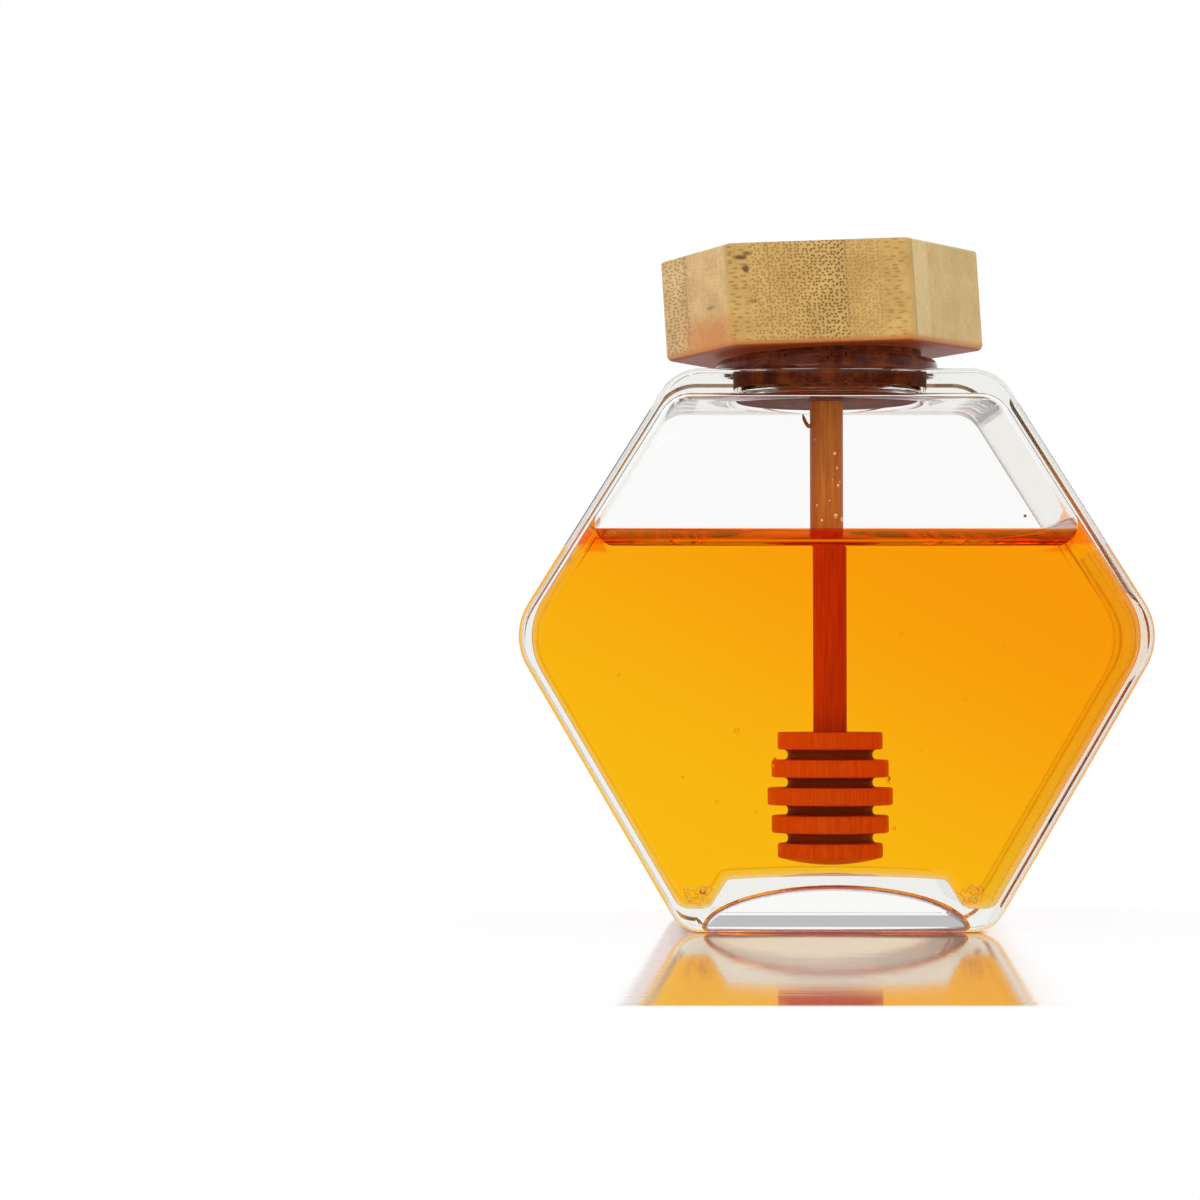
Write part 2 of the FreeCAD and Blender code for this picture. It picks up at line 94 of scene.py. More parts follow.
def put(tree, socket, value):
    """Sets an input to a number or colour, or links it if the value is another node's output."""
    if isinstance(value, bpy.types.NodeSocket):
        tree.links.new(value, socket)
    else:
        socket.default_value = value


def add(tree, kind, settings=None, **inputs):
    """A shader node with its settings and its named inputs."""
    node = tree.nodes.new("ShaderNode" + kind)
    for name, value in (settings or {}).items():
        setattr(node, name, value)
    for name, value in inputs.items():
        put(tree, node.inputs[name.replace("_", " ")], value)
    return node


def maths(tree, operation, *values):
    node = add(tree, "Math", {"operation": operation})
    for socket, value in zip(node.inputs, values):
        put(tree, socket, value)
    return node.outputs[0]


def vectors(tree, operation, *values):
    """The result of a vector operation; a number for a dot product or a length."""
    node = add(tree, "VectorMath", {"operation": operation})
    for socket, value in zip(node.inputs, values):
        put(tree, socket, value)
    return node.outputs["Value" if operation in ("DOT_PRODUCT", "LENGTH") else "Vector"]


def fade(tree, value, start, end, low=0.0, high=1.0):
    """A smooth step from low to high while the value goes from start to end."""
    node = add(
        tree, "MapRange", {"interpolation_type": "SMOOTHSTEP"},
        Value=value, From_Min=start, From_Max=end, To_Min=low, To_Max=high,
    )
    return node.outputs["Result"]


def band(tree, value, start, end, soft):
    """One between start and end, with soft edges, and zero outside."""
    rise = fade(tree, value, start - soft, start + soft)
    fall = fade(tree, value, end - soft, end + soft, 1.0, 0.0)
    return maths(tree, "MULTIPLY", rise, fall)


def blend(tree, factor, low, high, mode="MIX"):
    """A mix of two colours; the factor is clamped."""
    node = add(tree, "Mix", {"data_type": "RGBA", "blend_type": mode, "clamp_factor": True})
    put(tree, node.inputs[0], factor)
    put(tree, node.inputs[6], low)
    put(tree, node.inputs[7], high)
    return node.outputs[2]


def colour(red, green, blue):
    """A linear colour from one written as on a screen, 0 to 255."""
    parts = (c / 255.0 for c in (red, green, blue))
    return tuple(p / 12.92 if p <= 0.04045 else ((p + 0.055) / 1.055) ** 2.4 for p in parts) + (1.0,)


def new_material(name):
    """An empty material; returns it, its tree and its output node."""
    material = bpy.data.materials.new(name)
    material.use_nodes = True
    tree = material.node_tree
    tree.nodes.clear()
    return material, tree, tree.nodes.new("ShaderNodeOutputMaterial")


def places(tree):
    """The surface point in millimetres, and its x, y and z."""
    point = add(tree, "TexCoord").outputs["Object"]
    scaled = add(tree, "VectorMath", {"operation": "SCALE"}, Vector=point, Scale=1.0 / MM).outputs[0]
    split = add(tree, "SeparateXYZ", Vector=scaled)
    return scaled, split.outputs["X"], split.outputs["Y"], split.outputs["Z"]


def stretched(tree, point, x, y, z):
    """The point with its axes scaled, for patterns that run along one of them."""
    return vectors(tree, "MULTIPLY", point, (x, y, z))


def noise(tree, point, scale, detail=3.0, roughness=0.5, seed=0.0):
    moved = vectors(tree, "ADD", point, (seed, 2.3 * seed, 3.1 * seed))
    node = add(tree, "TexNoise", Vector=moved, Scale=scale, Detail=detail, Roughness=roughness)
    return node.outputs[0]


def bump(tree, height, distance, strength=1.0):
    """A normal from a height between 0 and 1, with the height of a full step in millimetres."""
    return add(tree, "Bump", Height=height, Distance=distance * MM, Strength=strength).outputs[0]


def mix_shaders(tree, factor, low, high):
    node = add(tree, "MixShader", Fac=factor)
    put(tree, node.inputs[1], low.outputs[0])
    put(tree, node.inputs[2], high.outputs[0])
    return node


def set_material(obj, material):
    obj.data.materials.clear()
    obj.data.materials.append(material)


# ---------------------------------------------------------------- world and lamps

WHITE = (1, 1, 1, 1)
DAYLIGHT = 0.9  # what the surfaces get from all round
BACKDROP = 1.0  # the white round the jar, as its glass shows it
CLOTH_PAINTED_REFLECTION = 0.05  # a painted dark reflection, as of a cloth round the camera, which only the glass mirrors
CLOTH_TOWARD = Vector((0.08, -1.0, 0.02))
SIDES = 0.7  # how bright the world's two ends are in glass, where the backdrop is 1


def seen_in_glass(tree):
    """One for what the camera sees by way of glass or the plate, and zero for what lights a surface."""
    paths = add(tree, "LightPath")
    glassy = maths(tree, "MAXIMUM", paths.outputs["Is Glossy Ray"], paths.outputs["Is Transmission Ray"])
    direct = maths(tree, "LESS_THAN", paths.outputs["Diffuse Depth"], 0.5)
    return maths(tree, "MULTIPLY", glassy, direct)


def mirrored(tree, shown, reflected):
    """What glass shows straight through it, and what it shows once a ray has been reflected."""
    depth = add(tree, "LightPath").outputs["Glossy Depth"]
    once = maths(tree, "GREATER_THAN", depth, 0.5)
    return maths(tree, "MULTIPLY_ADD", once, maths(tree, "SUBTRACT", reflected, shown), shown)


def cloth_in_glass(tree, direction):
    """The backdrop, with a painted dark reflection, as of a cloth round the camera, where glass mirrors it.
    """
    toward = vectors(tree, "DOT_PRODUCT", direction, CLOTH_TOWARD.normalized())
    return mirrored(tree, BACKDROP, fade(tree, toward, 0.90, 0.965, BACKDROP, CLOTH_PAINTED_REFLECTION))


def dimmed_sides(tree, direction):
    """One, or less at the world's two ends, to the left and right of the jar."""
    split = add(tree, "SeparateXYZ", Vector=direction)
    sideways = fade(tree, maths(tree, "ABSOLUTE", split.outputs["X"]), 0.55, 0.85)
    level = fade(tree, maths(tree, "ABSOLUTE", split.outputs["Z"]), 0.35, 0.6, 1.0, 0.0)
    return maths(tree, "MULTIPLY_ADD", maths(tree, "MULTIPLY", sideways, level), SIDES - 1.0, 1.0)


def add_world():
    """White all round: plain daylight for the surfaces, and a backdrop for the camera and the glass."""
    world = bpy.data.worlds.new("studio")
    world.use_nodes = True
    tree = world.node_tree
    tree.nodes.clear()
    out = tree.nodes.new("ShaderNodeOutputWorld")
    direction = add(tree, "TexCoord").outputs["Generated"]
    strength = maths(tree, "MULTIPLY", cloth_in_glass(tree, direction), dimmed_sides(tree, direction))
    light = add(tree, "Background", Color=WHITE, Strength=DAYLIGHT)
    glassy = add(tree, "Background", Color=WHITE, Strength=strength)
    seen = add(tree, "Background", Color=WHITE, Strength=1.0)
    first = mix_shaders(tree, seen_in_glass(tree), light, glassy)
    last = mix_shaders(tree, add(tree, "LightPath").outputs["Is Camera Ray"], first, seen)
    put(tree, out.inputs["Surface"], last.outputs[0])
    bpy.context.scene.world = world


KEY_AT = Vector((-0.6, -1.0, 1.2))  # metres, like the lamp's aim and width
KEY_AIM = Vector((0.0, 0.0, 0.07))  # the middle of the jar
KEY_WIDTH = 0.9
KEY_POWER = 7.0


def add_key_lamp():
    """A round soft box above the camera, to its left."""
    data = bpy.data.lights.new("key", "AREA")
    data.shape = "DISK"
    data.size = KEY_WIDTH
    data.energy = KEY_POWER
    lamp = bpy.data.objects.new("key", data)
    lamp.location = KEY_AT
    lamp.rotation_euler = (KEY_AIM - KEY_AT).to_track_quat("-Z", "Y").to_euler()
    bpy.context.scene.collection.objects.link(lamp)


FLOOR_RADIUS = 1.5  # metres
POLISH_EDGE_MM = -174.0  # where the polished plate ends in front of the jar
POLISH_HALF_WIDTH_MM = 85.0
MIRROR_SHARE = 0.93
MIRROR_SLANT = 0.07  # how far the jar's mirror image shifts to the right for each millimetre to the back
# painted warm reflection of the honey on the plate
PAINTED_WARM_REFLECTION = (0.82, 0.66, 0.48, 1)
# painted contact shadow, brown from a painted reflection of the honey
CONTACT_PAINTED_SHADOW = (0.44, 0.14, 0.0, 1)
UNDER_PAINTED_SHADOW = 0.48  # how much darker than the backdrop the floor under the jar is, seen through glass: a painted shadow


def plate_tone(tree, streaks, x, y):
    """White, with a painted warm reflection of the honey where the jar is mirrored, and a painted brown
    shadow on the line where it stands.
    """
    near = fade(tree, maths(tree, "MULTIPLY_ADD", streaks, 30.0, y), -165.0, -10.0, 0.45, 1.0)
    near = maths(tree, "MULTIPLY", near, fade(tree, y, -5.0, 25.0, 1.0, 0.0))
    image = maths(tree, "MULTIPLY_ADD", y, -MIRROR_SLANT, x)
    # painted warm reflection, along the jar's mirror image
    warm = maths(tree, "MULTIPLY", near, band(tree, image, -28.0, 32.0, 7.0))
    # painted contact shadow where the jar stands
    contact_shadow = maths(tree, "MULTIPLY", band(tree, y, -30.5, -24.0, 1.5), band(tree, x, -29.0, 29.0, 2.0))
    return blend(tree, contact_shadow, blend(tree, warm, WHITE, PAINTED_WARM_REFLECTION), CONTACT_PAINTED_SHADOW)


def floor_in_glass(tree, x, y):
    """Through glass, the floor is white, grey under the jar as a painted shadow, and dark near the camera
    once it is mirrored, as a painted dark reflection.
    """
    # painted shadow under the jar
    under = maths(tree, "MULTIPLY", band(tree, x, -31.0, 31.0, 2.0), band(tree, y, -16.0, 30.0, 6.0))
    # painted dark reflection: the floor near the camera is dark only where glass mirrors it
    reach = mirrored(tree, BACKDROP, fade(tree, y, -80.0, -45.0, CLOTH_PAINTED_REFLECTION, BACKDROP))
    strength = maths(tree, "MULTIPLY_ADD", under, -UNDER_PAINTED_SHADOW, reach)
    return add(tree, "Emission", Color=WHITE, Strength=strength)


def floor_material():
    """A polished white plate under and before the jar, which fades into a pure white table."""
    material, tree, out = new_material("floor")
    point, x, y, _ = places(tree)
    streaks = noise(tree, stretched(tree, point, 0.02, 0.25, 1.0), 1.0, 4.0, 0.6)
    mirror = add(
        tree, "BsdfGlossy", Color=plate_tone(tree, streaks, x, y), Roughness=0.055,
        Normal=bump(tree, streaks, 0.02),
    )
    matt = add(tree, "BsdfDiffuse", Color=(0.9, 0.9, 0.9, 1))
    plate = mix_shaders(tree, MIRROR_SHARE, matt, mirror)
    white = add(tree, "Emission", Color=WHITE, Strength=1.0)
    before = fade(tree, y, POLISH_EDGE_MM - 2.0, POLISH_EDGE_MM + 2.0)
    deep = maths(tree, "MULTIPLY", before, fade(tree, y, 25, 60, 1, 0))
    wide = band(tree, x, -POLISH_HALF_WIDTH_MM, POLISH_HALF_WIDTH_MM, 20.0)
    table = mix_shaders(tree, maths(tree, "MULTIPLY", deep, wide), white, plate)
    final = mix_shaders(tree, seen_in_glass(tree), table, floor_in_glass(tree, x, y))
    put(tree, out.inputs["Surface"], final.outputs[0])
    return material


def add_floor():
    bpy.ops.mesh.primitive_circle_add(vertices=96, radius=FLOOR_RADIUS, fill_type="NGON")
    floor = bpy.context.active_object
    floor.name = "floor"
    set_material(floor, floor_material())


# ---------------------------------------------------------------- glass and honey

REFLECTION_TINT = (0.25, 0.25, 0.25, 1)  # weak mirror images, so that the white behind comes through
GLASS_IOR = 1.5
# painted shade where the glass's rounded edges turn away
GLASS_EDGE_PAINTED_SHADE = (0.66, 0.62, 0.52, 1)
GLASS_DEPTH = 12.0  # absorption per metre
HONEY_IOR = 1.49
# painted shade of the honey towards its upper right
HONEY_PAINTED_SHADE = (1.0, 0.67, 0.35, 1)
# painted shade in the meniscus, red at its foot and orange above
MENISCUS_PAINTED_SHADE_LOW = (1.0, 0.30, 0.02, 1)
MENISCUS_PAINTED_SHADE_HIGH = (1.0, 0.60, 0.20, 1)
HONEY_DEPTH = 100.0  # absorption per metre


def clear_shader(tree, out, tint, ior, absorbed, depth):
    """A clear, smooth body with a surface tint and an absorption."""
    shader = add(tree, "BsdfPrincipled", Base_Color=tint, Roughness=0.0, IOR=ior, Transmission_Weight=1.0)
    shader.inputs["Specular Tint"].default_value = REFLECTION_TINT
    volume = add(tree, "VolumeAbsorption", Color=absorbed, Density=depth)
    put(tree, out.inputs["Surface"], shader.outputs[0])
    put(tree, out.inputs["Volume"], volume.outputs[0])


def glass_material():
    """Clear white glass, with painted grey and a little brown shade where its rounded edges turn away."""
    material, tree, out = new_material("clear_glass")
    facing = add(tree, "LayerWeight", Blend=0.5).outputs["Facing"]
    # painted edge shade, by how far the surface turns away
    tint = blend(tree, fade(tree, facing, 0.45, 0.9), WHITE, GLASS_EDGE_PAINTED_SHADE)
    clear_shader(tree, out, tint, GLASS_IOR, (0.80, 0.80, 0.74, 1), GLASS_DEPTH)
    return material


def honey_material():
    """Clear amber, with painted shade: yellow at the lower left, deepening to more orange at the upper right,
    and red in its meniscus.
    """
    material, tree, out = new_material("honey")
    _, x, _, z = places(tree)
    # painted shade: more orange towards the upper right
    slope = maths(tree, "ADD", maths(tree, "MULTIPLY", x, 0.5), z)
    tint = blend(tree, fade(tree, slope, 0.0, 95.0), WHITE, HONEY_PAINTED_SHADE)
    # painted shade in the meniscus
    edge = blend(tree, fade(tree, z, WET_LINE + 2.5, WET_LINE + 5.6), MENISCUS_PAINTED_SHADE_LOW, MENISCUS_PAINTED_SHADE_HIGH)
    tint = blend(tree, fade(tree, z, WET_LINE + 0.2, WET_LINE + 1.0), tint, edge)
    clear_shader(tree, out, tint, HONEY_IOR, (1.0, 0.87, 0.0, 1), HONEY_DEPTH)
    return material


FILL_REACH_MM = 0.12  # how far the honey goes into the glass and the wood


def shared_normals(mesh, points):
    """A unit normal for each vertex; vertices at one place share theirs, so that the surface stays closed."""
    loops = np.empty(len(mesh.loops), dtype=int)
    mesh.loops.foreach_get("vertex_index", loops)
    corners = np.empty(len(mesh.loops) * 3)
    mesh.corner_normals.foreach_get("vector", corners)
    normals = np.zeros((len(points), 3))
    np.add.at(normals, loops, corners.reshape(-1, 3))
    keys = np.round(points * 1e6).astype(np.int64)
    _, group = np.unique(keys, axis=0, return_inverse=True)
    total = np.zeros((group.max() + 1, 3))
    np.add.at(total, group, normals)
    total /= np.maximum(np.linalg.norm(total, axis=1, keepdims=True), 1e-12)
    return total[group]


def make_honey():
    """The CAD honey swollen by a hair, so that it reaches into the glass and the wood."""
    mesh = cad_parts["honey"].data.copy()
    mesh.name = "honey_fill"
    points = np.empty(len(mesh.vertices) * 3)
    mesh.vertices.foreach_get("co", points)
    points = points.reshape(-1, 3)
    points += shared_normals(mesh, points) * FILL_REACH_MM * MM
    mesh.vertices.foreach_set("co", points.ravel())
    mesh.update()
    fill = bpy.data.objects.new("honey_fill", mesh)
    bpy.context.scene.collection.objects.link(fill)
    set_material(fill, honey_material())
    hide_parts("honey")
    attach(fill, "root")


# ---------------------------------------------------------------- wood


def opaque_shader(tree, out, base, roughness, normal=None, specular=None):
    """A surface that is not clear, with a normal and a specular level where they are given."""
    shader = add(tree, "BsdfPrincipled", Base_Color=base, Roughness=roughness)
    if normal is not None:
        put(tree, shader.inputs["Normal"], normal)
    if specular is not None:
        shader.inputs["Specular IOR Level"].default_value = specular
    put(tree, out.inputs["Surface"], shader.outputs[0])


def grained(tree, grain, dark, light):
    """A wood colour between a dark and a light one, by its grain."""
    return blend(tree, fade(tree, grain, 0.3, 0.7), dark, light)


def dipper_material():
    """Wood with fine grain along the stick: brown above the honey, red under it as wood wet with honey and as
    painted light from the honey, and painted shade in the slots of the head.
    """
    material, tree, out = new_material("turned_wood")
    point, x, y, z = places(tree)
    grain = noise(tree, stretched(tree, point, 2.2, 2.2, 0.10), 1.0, 4.0, 0.6)
    flecks = noise(tree, stretched(tree, point, 5.0, 5.0, 0.9), 1.0, 2.0, 0.5, seed=4.0)
    across = maths(tree, "SUBTRACT", x, STICK_AT)
    dry = grained(tree, grain, colour(178, 98, 24), colour(200, 122, 38))
    dry = blend(tree, fade(tree, across, -3.3, -1.0, 1.0, 0.0), dry, colour(166, 86, 20))
    # under the honey: wood wet with honey, its red partly painted light from the honey, on the stick and the
    # head
    soaked_and_honey_lit = grained(tree, grain, colour(182, 62, 8), colour(206, 84, 14))
    head = grained(tree, grain, colour(212, 88, 18), colour(230, 108, 28))
    # painted shade in the slots between the head's discs
    squares = maths(tree, "ADD", maths(tree, "POWER", across, 2.0), maths(tree, "POWER", y, 2.0))
    inside = fade(tree, maths(tree, "SQRT", squares), 9.0, 10.2, 1.0, 0.0)
    painted_groove_shade = maths(tree, "MULTIPLY", inside, fade(tree, z, DIPPER_LOW.z + 2.0, DIPPER_LOW.z + 3.5))
    head = blend(tree, painted_groove_shade, head, colour(126, 52, 12))
    soaked_and_honey_lit = blend(tree, fade(tree, z, HEAD_TOP - 0.5, HEAD_TOP + 0.5, 1.0, 0.0), soaked_and_honey_lit, head)
    body = blend(tree, fade(tree, z, WET_LINE - 1.0, WET_LINE + 2.5, 1.0, 0.0), dry, soaked_and_honey_lit)
    dark = blend(tree, fade(tree, flecks, 0.62, 0.72), WHITE, (0.82, 0.72, 0.62, 1))
    base = blend(tree, 1.0, body, dark, "MULTIPLY")
    opaque_shader(tree, out, base, 0.45, bump(tree, grain, 0.08), specular=0.2)
    return material


def cork_material():
    """Dark, damp cork with pits."""
    material, tree, out = new_material("cork")
    point, _, _, _ = places(tree)
    patches = noise(tree, point, 0.35, 4.0, 0.6)
    pits = add(tree, "TexVoronoi", Vector=stretched(tree, point, 1.0, 1.0, 1.6), Scale=0.9)
    hole = fade(tree, pits.outputs["Distance"], 0.12, 0.3, 1.0, 0.0)
    body = blend(tree, fade(tree, patches, 0.35, 0.68), colour(78, 25, 4), colour(122, 54, 16))
    base = blend(tree, hole, body, colour(60, 20, 6))
    relief = maths(tree, "SUBTRACT", patches, hole)
    opaque_shader(tree, out, base, 0.6, bump(tree, relief, 0.15), specular=0.1)
    return material


LID_LEAN = 0.063  # how far the lid's strips lean to the left for each millimetre up
LID_RISE = 0.035  # how far its underside rises for each millimetre to the right
LEFT_CORNER = -21.3  # where its front meets its left and right faces
RIGHT_CORNER = 17.0
MIDDLE_STRIP = (-12.6, 3.2)
SEAMS = (-29.0, *MIDDLE_STRIP, RIGHT_CORNER)
FIBRE_ZONES = ((3.2, 10.5, 0.42), (-33.5, -28.6, 0.6), (-28.6, -21.6, 0.14), (-16.5, -12.6, 0.6))
KNOTS = (
    # across and up, width and height, darkness
    ((-18.3, 18.6), (1.6, 0.55), 0.9),
    ((-17.2, 16.3), (0.9, 0.9), 0.9),
    ((-16.8, 19.4), (1.1, 0.5), 0.7),
    ((-16.0, 9.7), (1.3, 0.35), 0.5),
    ((-24.5, 9.2), (0.9, 0.5), 0.5),
)


def fibre_ends(tree, along, height, wide, tall, core, edge):
    """Loose rows of dots, each in a cell of a width and a height."""
    column = maths(tree, "DIVIDE", along, wide)
    row = maths(tree, "DIVIDE", height, tall)
    cells = add(
        tree, "TexVoronoi", {"voronoi_dimensions": "2D"},
        Vector=add(tree, "CombineXYZ", X=column, Y=row).outputs[0], Scale=1.0, Randomness=0.7,
    )
    return fade(tree, cells.outputs["Distance"], core, edge, 1.0, 0.0)


def bamboo_body(tree, along, mottle):
    """The lid's ground colour: golden in front, paler at the sides, palest beside the right corner."""
    front = grained(tree, mottle, colour(186, 147, 76), colour(202, 163, 90))
    left = grained(tree, mottle, colour(194, 156, 96), colour(214, 178, 120))
    right = grained(tree, mottle, colour(198, 168, 106), colour(210, 180, 120))
    body = blend(tree, fade(tree, along, LEFT_CORNER - 0.3, LEFT_CORNER + 0.3, 1.0, 0.0), front, left)
    body = blend(tree, fade(tree, along, RIGHT_CORNER - 0.4, RIGHT_CORNER + 0.4), body, right)
    pale = maths(tree, "MULTIPLY", band(tree, along, RIGHT_CORNER + 0.2, RIGHT_CORNER + 3.6, 0.4), 0.5)
    return blend(tree, pale, body, colour(222, 196, 142))


def bamboo_dots(tree, along, height):
    """Fibre ends, strongest on the right of the middle strip."""
    dot = fibre_ends(tree, along, height, 0.80, 0.70, 0.14, 0.42)
    dense = fade(tree, along, -12.0, 1.0, 0.6, 1.0)
    density = maths(tree, "MULTIPLY", band(tree, along, *MIDDLE_STRIP, 0.4), dense)
    for start, end, share in FIBRE_ZONES:
        part = maths(tree, "MULTIPLY", band(tree, along, start, end, 0.4), share)
        density = maths(tree, "ADD", density, part)
    return maths(tree, "MULTIPLY", dot, density)


def bamboo_dashes(tree, along, height):
    """Dashes where the outer skin of the bamboo is cut at a slant."""
    dash = fibre_ends(tree, along, height, 2.6, 0.85, 0.16, 0.34)
    right = maths(tree, "MULTIPLY", band(tree, along, 11.0, 15.8, 0.8), 0.8)
    zone = maths(tree, "ADD", band(tree, along, -20.8, -17.0, 0.6), right)
    return maths(tree, "MULTIPLY", maths(tree, "MULTIPLY", dash, zone), 0.6)


def bamboo_knot(tree, along, height, fine, place, size, depth):
    """A ragged oval spot with its place and size across and up."""
    across = maths(tree, "DIVIDE", maths(tree, "SUBTRACT", along, place[0]), size[0])
    up = maths(tree, "DIVIDE", maths(tree, "SUBTRACT", height, place[1]), size[1])
    away = vectors(tree, "LENGTH", add(tree, "CombineXYZ", X=across, Z=up).outputs[0])
    spot = fade(tree, maths(tree, "ADD", away, fine), 0.9, 1.7, 1.0, 0.0)
    return maths(tree, "MULTIPLY", spot, depth)


def bamboo_material():
    """Glued strips of bamboo, cut across in front: rows of dark fibre ends, denser in the middle strip."""
    material, tree, out = new_material("bamboo")
    point, x, _, z = places(tree)
    height = maths(tree, "SUBTRACT", z, LID_LOW.z)
    along = maths(tree, "MULTIPLY_ADD", height, LID_LEAN, x)
    mottle = noise(tree, point, 0.16, 3.0, 0.55)
    fine = noise(tree, point, 1.3, 3.0, 0.6, seed=2.0)

    marks = bamboo_dots(tree, along, height)
    body = blend(tree, marks, bamboo_body(tree, along, mottle), colour(108, 72, 24))
    body = blend(tree, bamboo_dashes(tree, along, height), body, colour(128, 88, 34))
    for seam in SEAMS:
        line = band(tree, along, seam - 0.10, seam + 0.10, 0.12)
        body = blend(tree, maths(tree, "MULTIPLY", line, 0.55), body, colour(140, 104, 48))

    for place, size, depth in KNOTS:
        knot = bamboo_knot(tree, along, height, fine, place, size, depth)
        body = blend(tree, knot, body, colour(96, 60, 22))

    # The honey stain at the lower left, the orange lower edge, which is painted light from the honey, and the
    # brown underside, which is painted shadow.
    low = fade(tree, height, 5.0, 9.0, 1.0, 0.0)
    stain = maths(tree, "MULTIPLY", band(tree, along, -29.5, -20.5, 2.0), low)
    stain = maths(tree, "MULTIPLY", stain, fade(tree, mottle, 0.2, 0.6))
    body = blend(tree, maths(tree, "MULTIPLY", stain, 0.85), body, colour(200, 122, 48))
    level = maths(tree, "MULTIPLY_ADD", x, -LID_RISE, z)
    # painted light from the honey on the lower edge's bevel
    painted_rim_light = fade(tree, level, LID_LOW.z + 1.6, LID_LOW.z + 3.0, 1.0, 0.0)
    body = blend(tree, maths(tree, "MULTIPLY", painted_rim_light, 0.9), body, colour(196, 124, 54))
    # painted shadow on the underside
    painted_underside_shadow = fade(tree, level, LID_LOW.z + 1.3, LID_LOW.z + 1.7, 1.0, 0.0)
    body = blend(tree, painted_underside_shadow, body, colour(142, 66, 20))

    speckle = blend(tree, fade(tree, fine, 0.3, 0.7), (0.93, 0.92, 0.90, 1), (1.05, 1.05, 1.05, 1))
    relief = maths(tree, "SUBTRACT", maths(tree, "MULTIPLY", fine, 0.4), marks)
    base = blend(tree, 1.0, body, speckle, "MULTIPLY")
    opaque_shader(tree, out, base, 0.5, bump(tree, relief, 0.05))
    return material


# ---------------------------------------------------------------- bubbles, droplets and the drip


def beads(name, places_mm, material, squash=1.0):
    """One mesh of small balls, each given by its place and radius in millimetres."""
    shape = bmesh.new()
    for x, y, z, radius in places_mm:
        move = Matrix.Translation(Vector((x, y, z)) * MM) @ Matrix.Diagonal((1.0, 1.0, squash, 1.0))
        bmesh.ops.create_icosphere(shape, subdivisions=3, radius=radius * MM, matrix=move)
    for face in shape.faces:
        face.smooth = True
    mesh = bpy.data.meshes.new(name)
    shape.to_mesh(mesh)
    shape.free()
    piece = bpy.data.objects.new(name, mesh)
    bpy.context.scene.collection.objects.link(piece)
    set_material(piece, material)
    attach(piece, "root")
    return piece


def bubble_material():
    """A clear ball that shows as a ring in the honey."""
    material, tree, out = new_material("bubble")
    tint = (1.0, 0.92, 0.75, 1)
    shader = add(tree, "BsdfPrincipled", Base_Color=tint, Roughness=0.0, IOR=1.3, Transmission_Weight=1.0)
    put(tree, out.inputs["Surface"], shader.outputs[0])
    return material


def droplet_material():
    """A drop painted pale as a highlight, with lighter and darker bands of painted highlight."""
    material, tree, out = new_material("droplet")
    _, _, _, z = places(tree)
    wave = maths(tree, "SINE", maths(tree, "MULTIPLY", z, 5.0))
    # painted highlights in pale bands
    painted_glint = blend(tree, fade(tree, wave, -0.6, 0.6), colour(226, 168, 98), colour(252, 232, 200))
    opaque_shader(tree, out, painted_glint, 0.1)
    return material


def amber_material():
    """Honey in a thin thread or drop, too small to look through."""
    material, tree, out = new_material("amber")
    point, _, _, _ = places(tree)
    shade = noise(tree, point, 1.2, 2.0, 0.5)
    body = blend(tree, fade(tree, shade, 0.35, 0.65), colour(128, 70, 14), colour(172, 98, 26))
    shader = add(tree, "BsdfPrincipled", Base_Color=body, Roughness=0.08, IOR=HONEY_IOR)
    put(tree, out.inputs["Surface"], shader.outputs[0])
    return material


CORNER_BUBBLES = 26  # on each side
LONE_BUBBLES = (
    # across, up, radius
    (-19.8, 40.5, 0.55), (-11.6, 34.4, 0.38), (-10.7, 33.6, 0.45), (-12.4, 33.2, 0.3), (11.4, 30.6, 0.5),
    (12.1, 29.6, 0.3), (12.9, 20.2, 0.42), (-31.0, 31.0, 0.3), (-24.0, 26.0, 0.35), (27.0, 47.0, 0.3),
    (-44.0, 52.0, 0.3), (36.0, 58.0, 0.28), (14.0, 60.5, 0.32), (-15.5, 23.5, 0.28), (19.0, 36.5, 0.26),
)
STICK_DROPS = (
    # across from the stick's middle, up, radius
    (1.5, 98.6, 0.34), (2.0, 95.4, 0.28), (2.6, 92.6, 0.24), (1.0, 92.9, 0.2), (2.2, 91.7, 0.32),
    (1.7, 85.3, 0.42), (3.0, 84.7, 0.42), (-2.2, 87.6, 0.22), (-1.2, 84.4, 0.24), (3.2, 99.0, 0.2),
    (-2.6, 101.5, 0.18), (0.4, 88.6, 0.16),
)
SPECK = (38.3, -25.2, 84.1, 0.32)
DRIP = (
    # across from the stick's left side, up, radius
    (-1.5, 106.8, 0.16), (-1.3, 106.0, 0.36), (-0.95, 105.2, 0.38), (-0.45, 104.5, 0.42), (0.05, 104.4, 0.44),
    (0.5, 104.9, 0.36),
)
DRIP_STEPS = 6  # balls from each point of the thread to the next


def add_bubbles():
    """Bubbles caught in the bottom corners of the honey, and a few about where the photo has them."""
    dice = random.Random(7)
    found = []
    for side in (-1, 1):
        for _ in range(CORNER_BUBBLES):
            radius = dice.uniform(0.22, 0.7)
            x = side * dice.uniform(25.5, 30.5)
            z = dice.uniform(5.6, 8.6) + radius * 0.3
            found.append((x, dice.uniform(-24.3, -17.0), z, radius))
    for x, z, radius in LONE_BUBBLES:
        found.append((x, dice.uniform(-16.0, 2.0), z, radius))
    beads("bubbles", found, bubble_material())


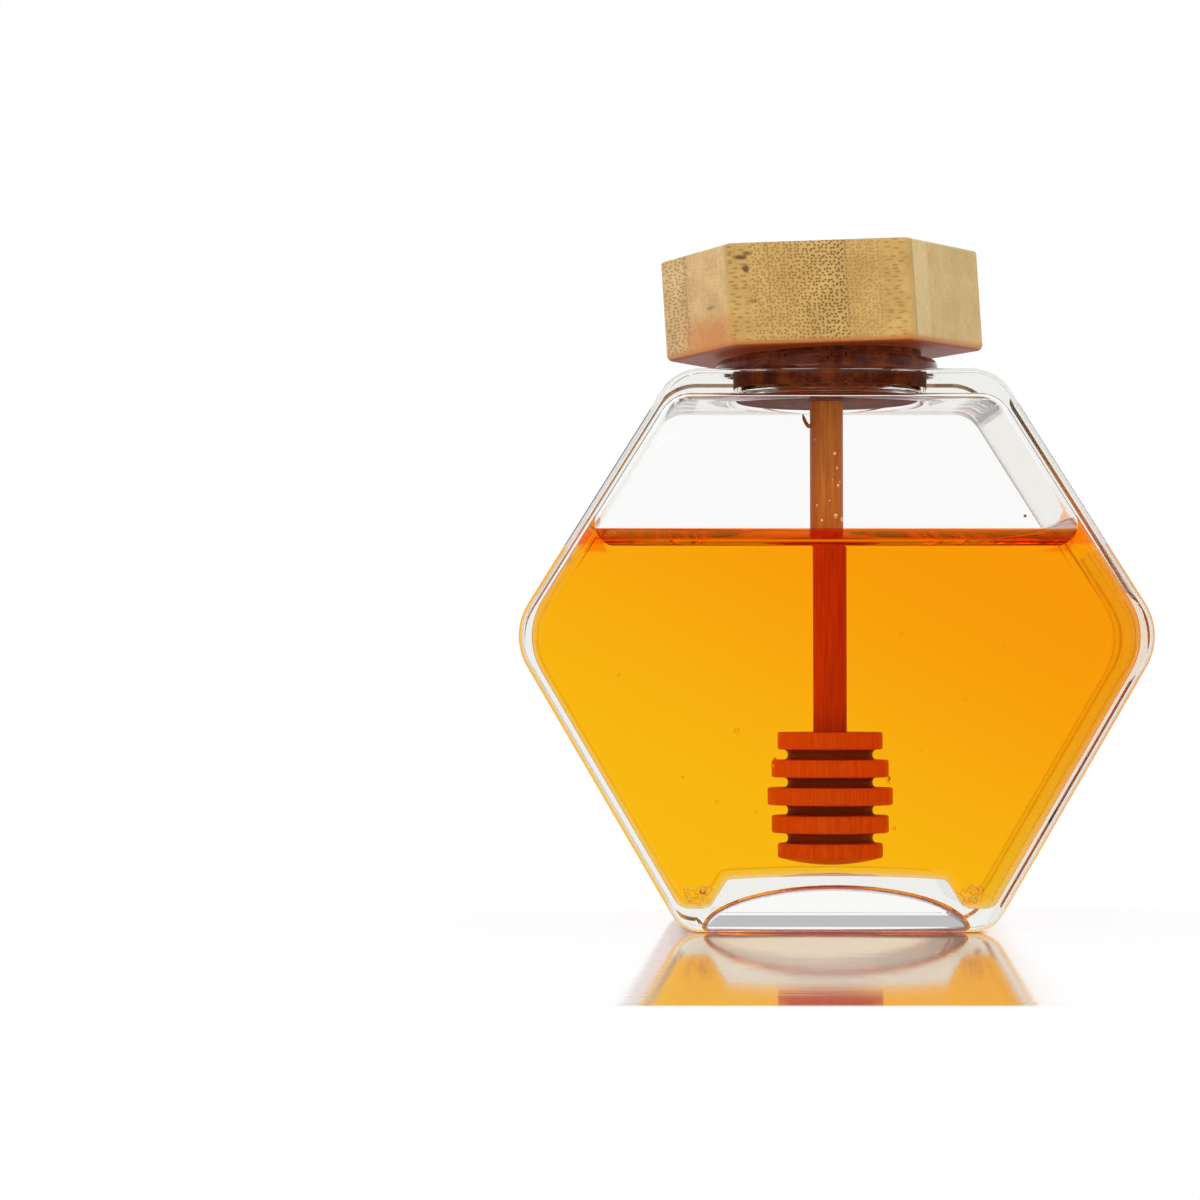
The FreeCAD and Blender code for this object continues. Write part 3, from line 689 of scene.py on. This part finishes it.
def add_droplets():
    """Drops of honey down the front of the dry stick, and a speck on the glass wall of the headspace."""
    found = []
    for across, z, radius in STICK_DROPS:
        depth = math.sqrt(STICK_RADIUS**2 - across**2)
        found.append((STICK_AT + across, -depth, z, radius))
    beads("droplets", found, droplet_material(), squash=1.3)
    beads("speck", [SPECK], amber_material())


MOUTH_GAP_MM = 0.05  # between the CAD cork and the glass of the mouth
SKIN_REACH_MM = 0.12
SKIN_FROM_MM, SKIN_TO_MM = 111.5, 117.3  # the height over which the cork is tight in the mouth


def add_cork_skin(material):
    """A drum that carries the cork into the glass of the mouth, where no air is left between them."""
    middle = (CORK_LOW + CORK_HIGH) / 2
    radius = (CORK_HIGH.x - CORK_LOW.x) / 2 + MOUTH_GAP_MM + SKIN_REACH_MM
    height = (SKIN_FROM_MM + SKIN_TO_MM) / 2
    bpy.ops.mesh.primitive_cylinder_add(
        vertices=160, radius=radius * MM, depth=(SKIN_TO_MM - SKIN_FROM_MM) * MM,
        location=Vector((middle.x, middle.y, height)) * MM,
    )
    skin = bpy.context.active_object
    skin.name = "cork_skin"
    bpy.ops.object.shade_smooth_by_angle(angle=math.radians(30.0))
    set_material(skin, material)
    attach(skin, "root")


def add_drip(material):
    """The thread of honey that hangs from the left of the stick under the cork."""
    left = STICK_AT - STICK_RADIUS
    found = []
    for start, end in zip(DRIP, DRIP[1:]):
        for step in range(DRIP_STEPS):
            part = step / DRIP_STEPS
            across, z, radius = (a * (1 - part) + b * part for a, b in zip(start, end))
            found.append((left + across, -1.0, z, radius))
    beads("drip", found, material)


# ---------------------------------------------------------------- the whole scene

add_camera()
add_world()
add_key_lamp()
add_floor()
make_honey()
set_material(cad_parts["glass_jar"], glass_material())
set_material(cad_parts["dipper"], dipper_material())
cork = cork_material()
set_material(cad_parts["stopper"], cork)
add_cork_skin(cork)
set_material(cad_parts["lid"], bamboo_material())

add_bubbles()
add_droplets()
add_drip(amber_material())

scene = bpy.context.scene
scene.view_settings.view_transform = "Standard"
scene.cycles.max_bounces = 32
scene.cycles.transmission_bounces = 32
scene.cycles.transparent_max_bounces = 16
scene.cycles.glossy_bounces = 8
scene.cycles.blur_glossy = 0.0  # so that daylight reaches the dipper through clear glass
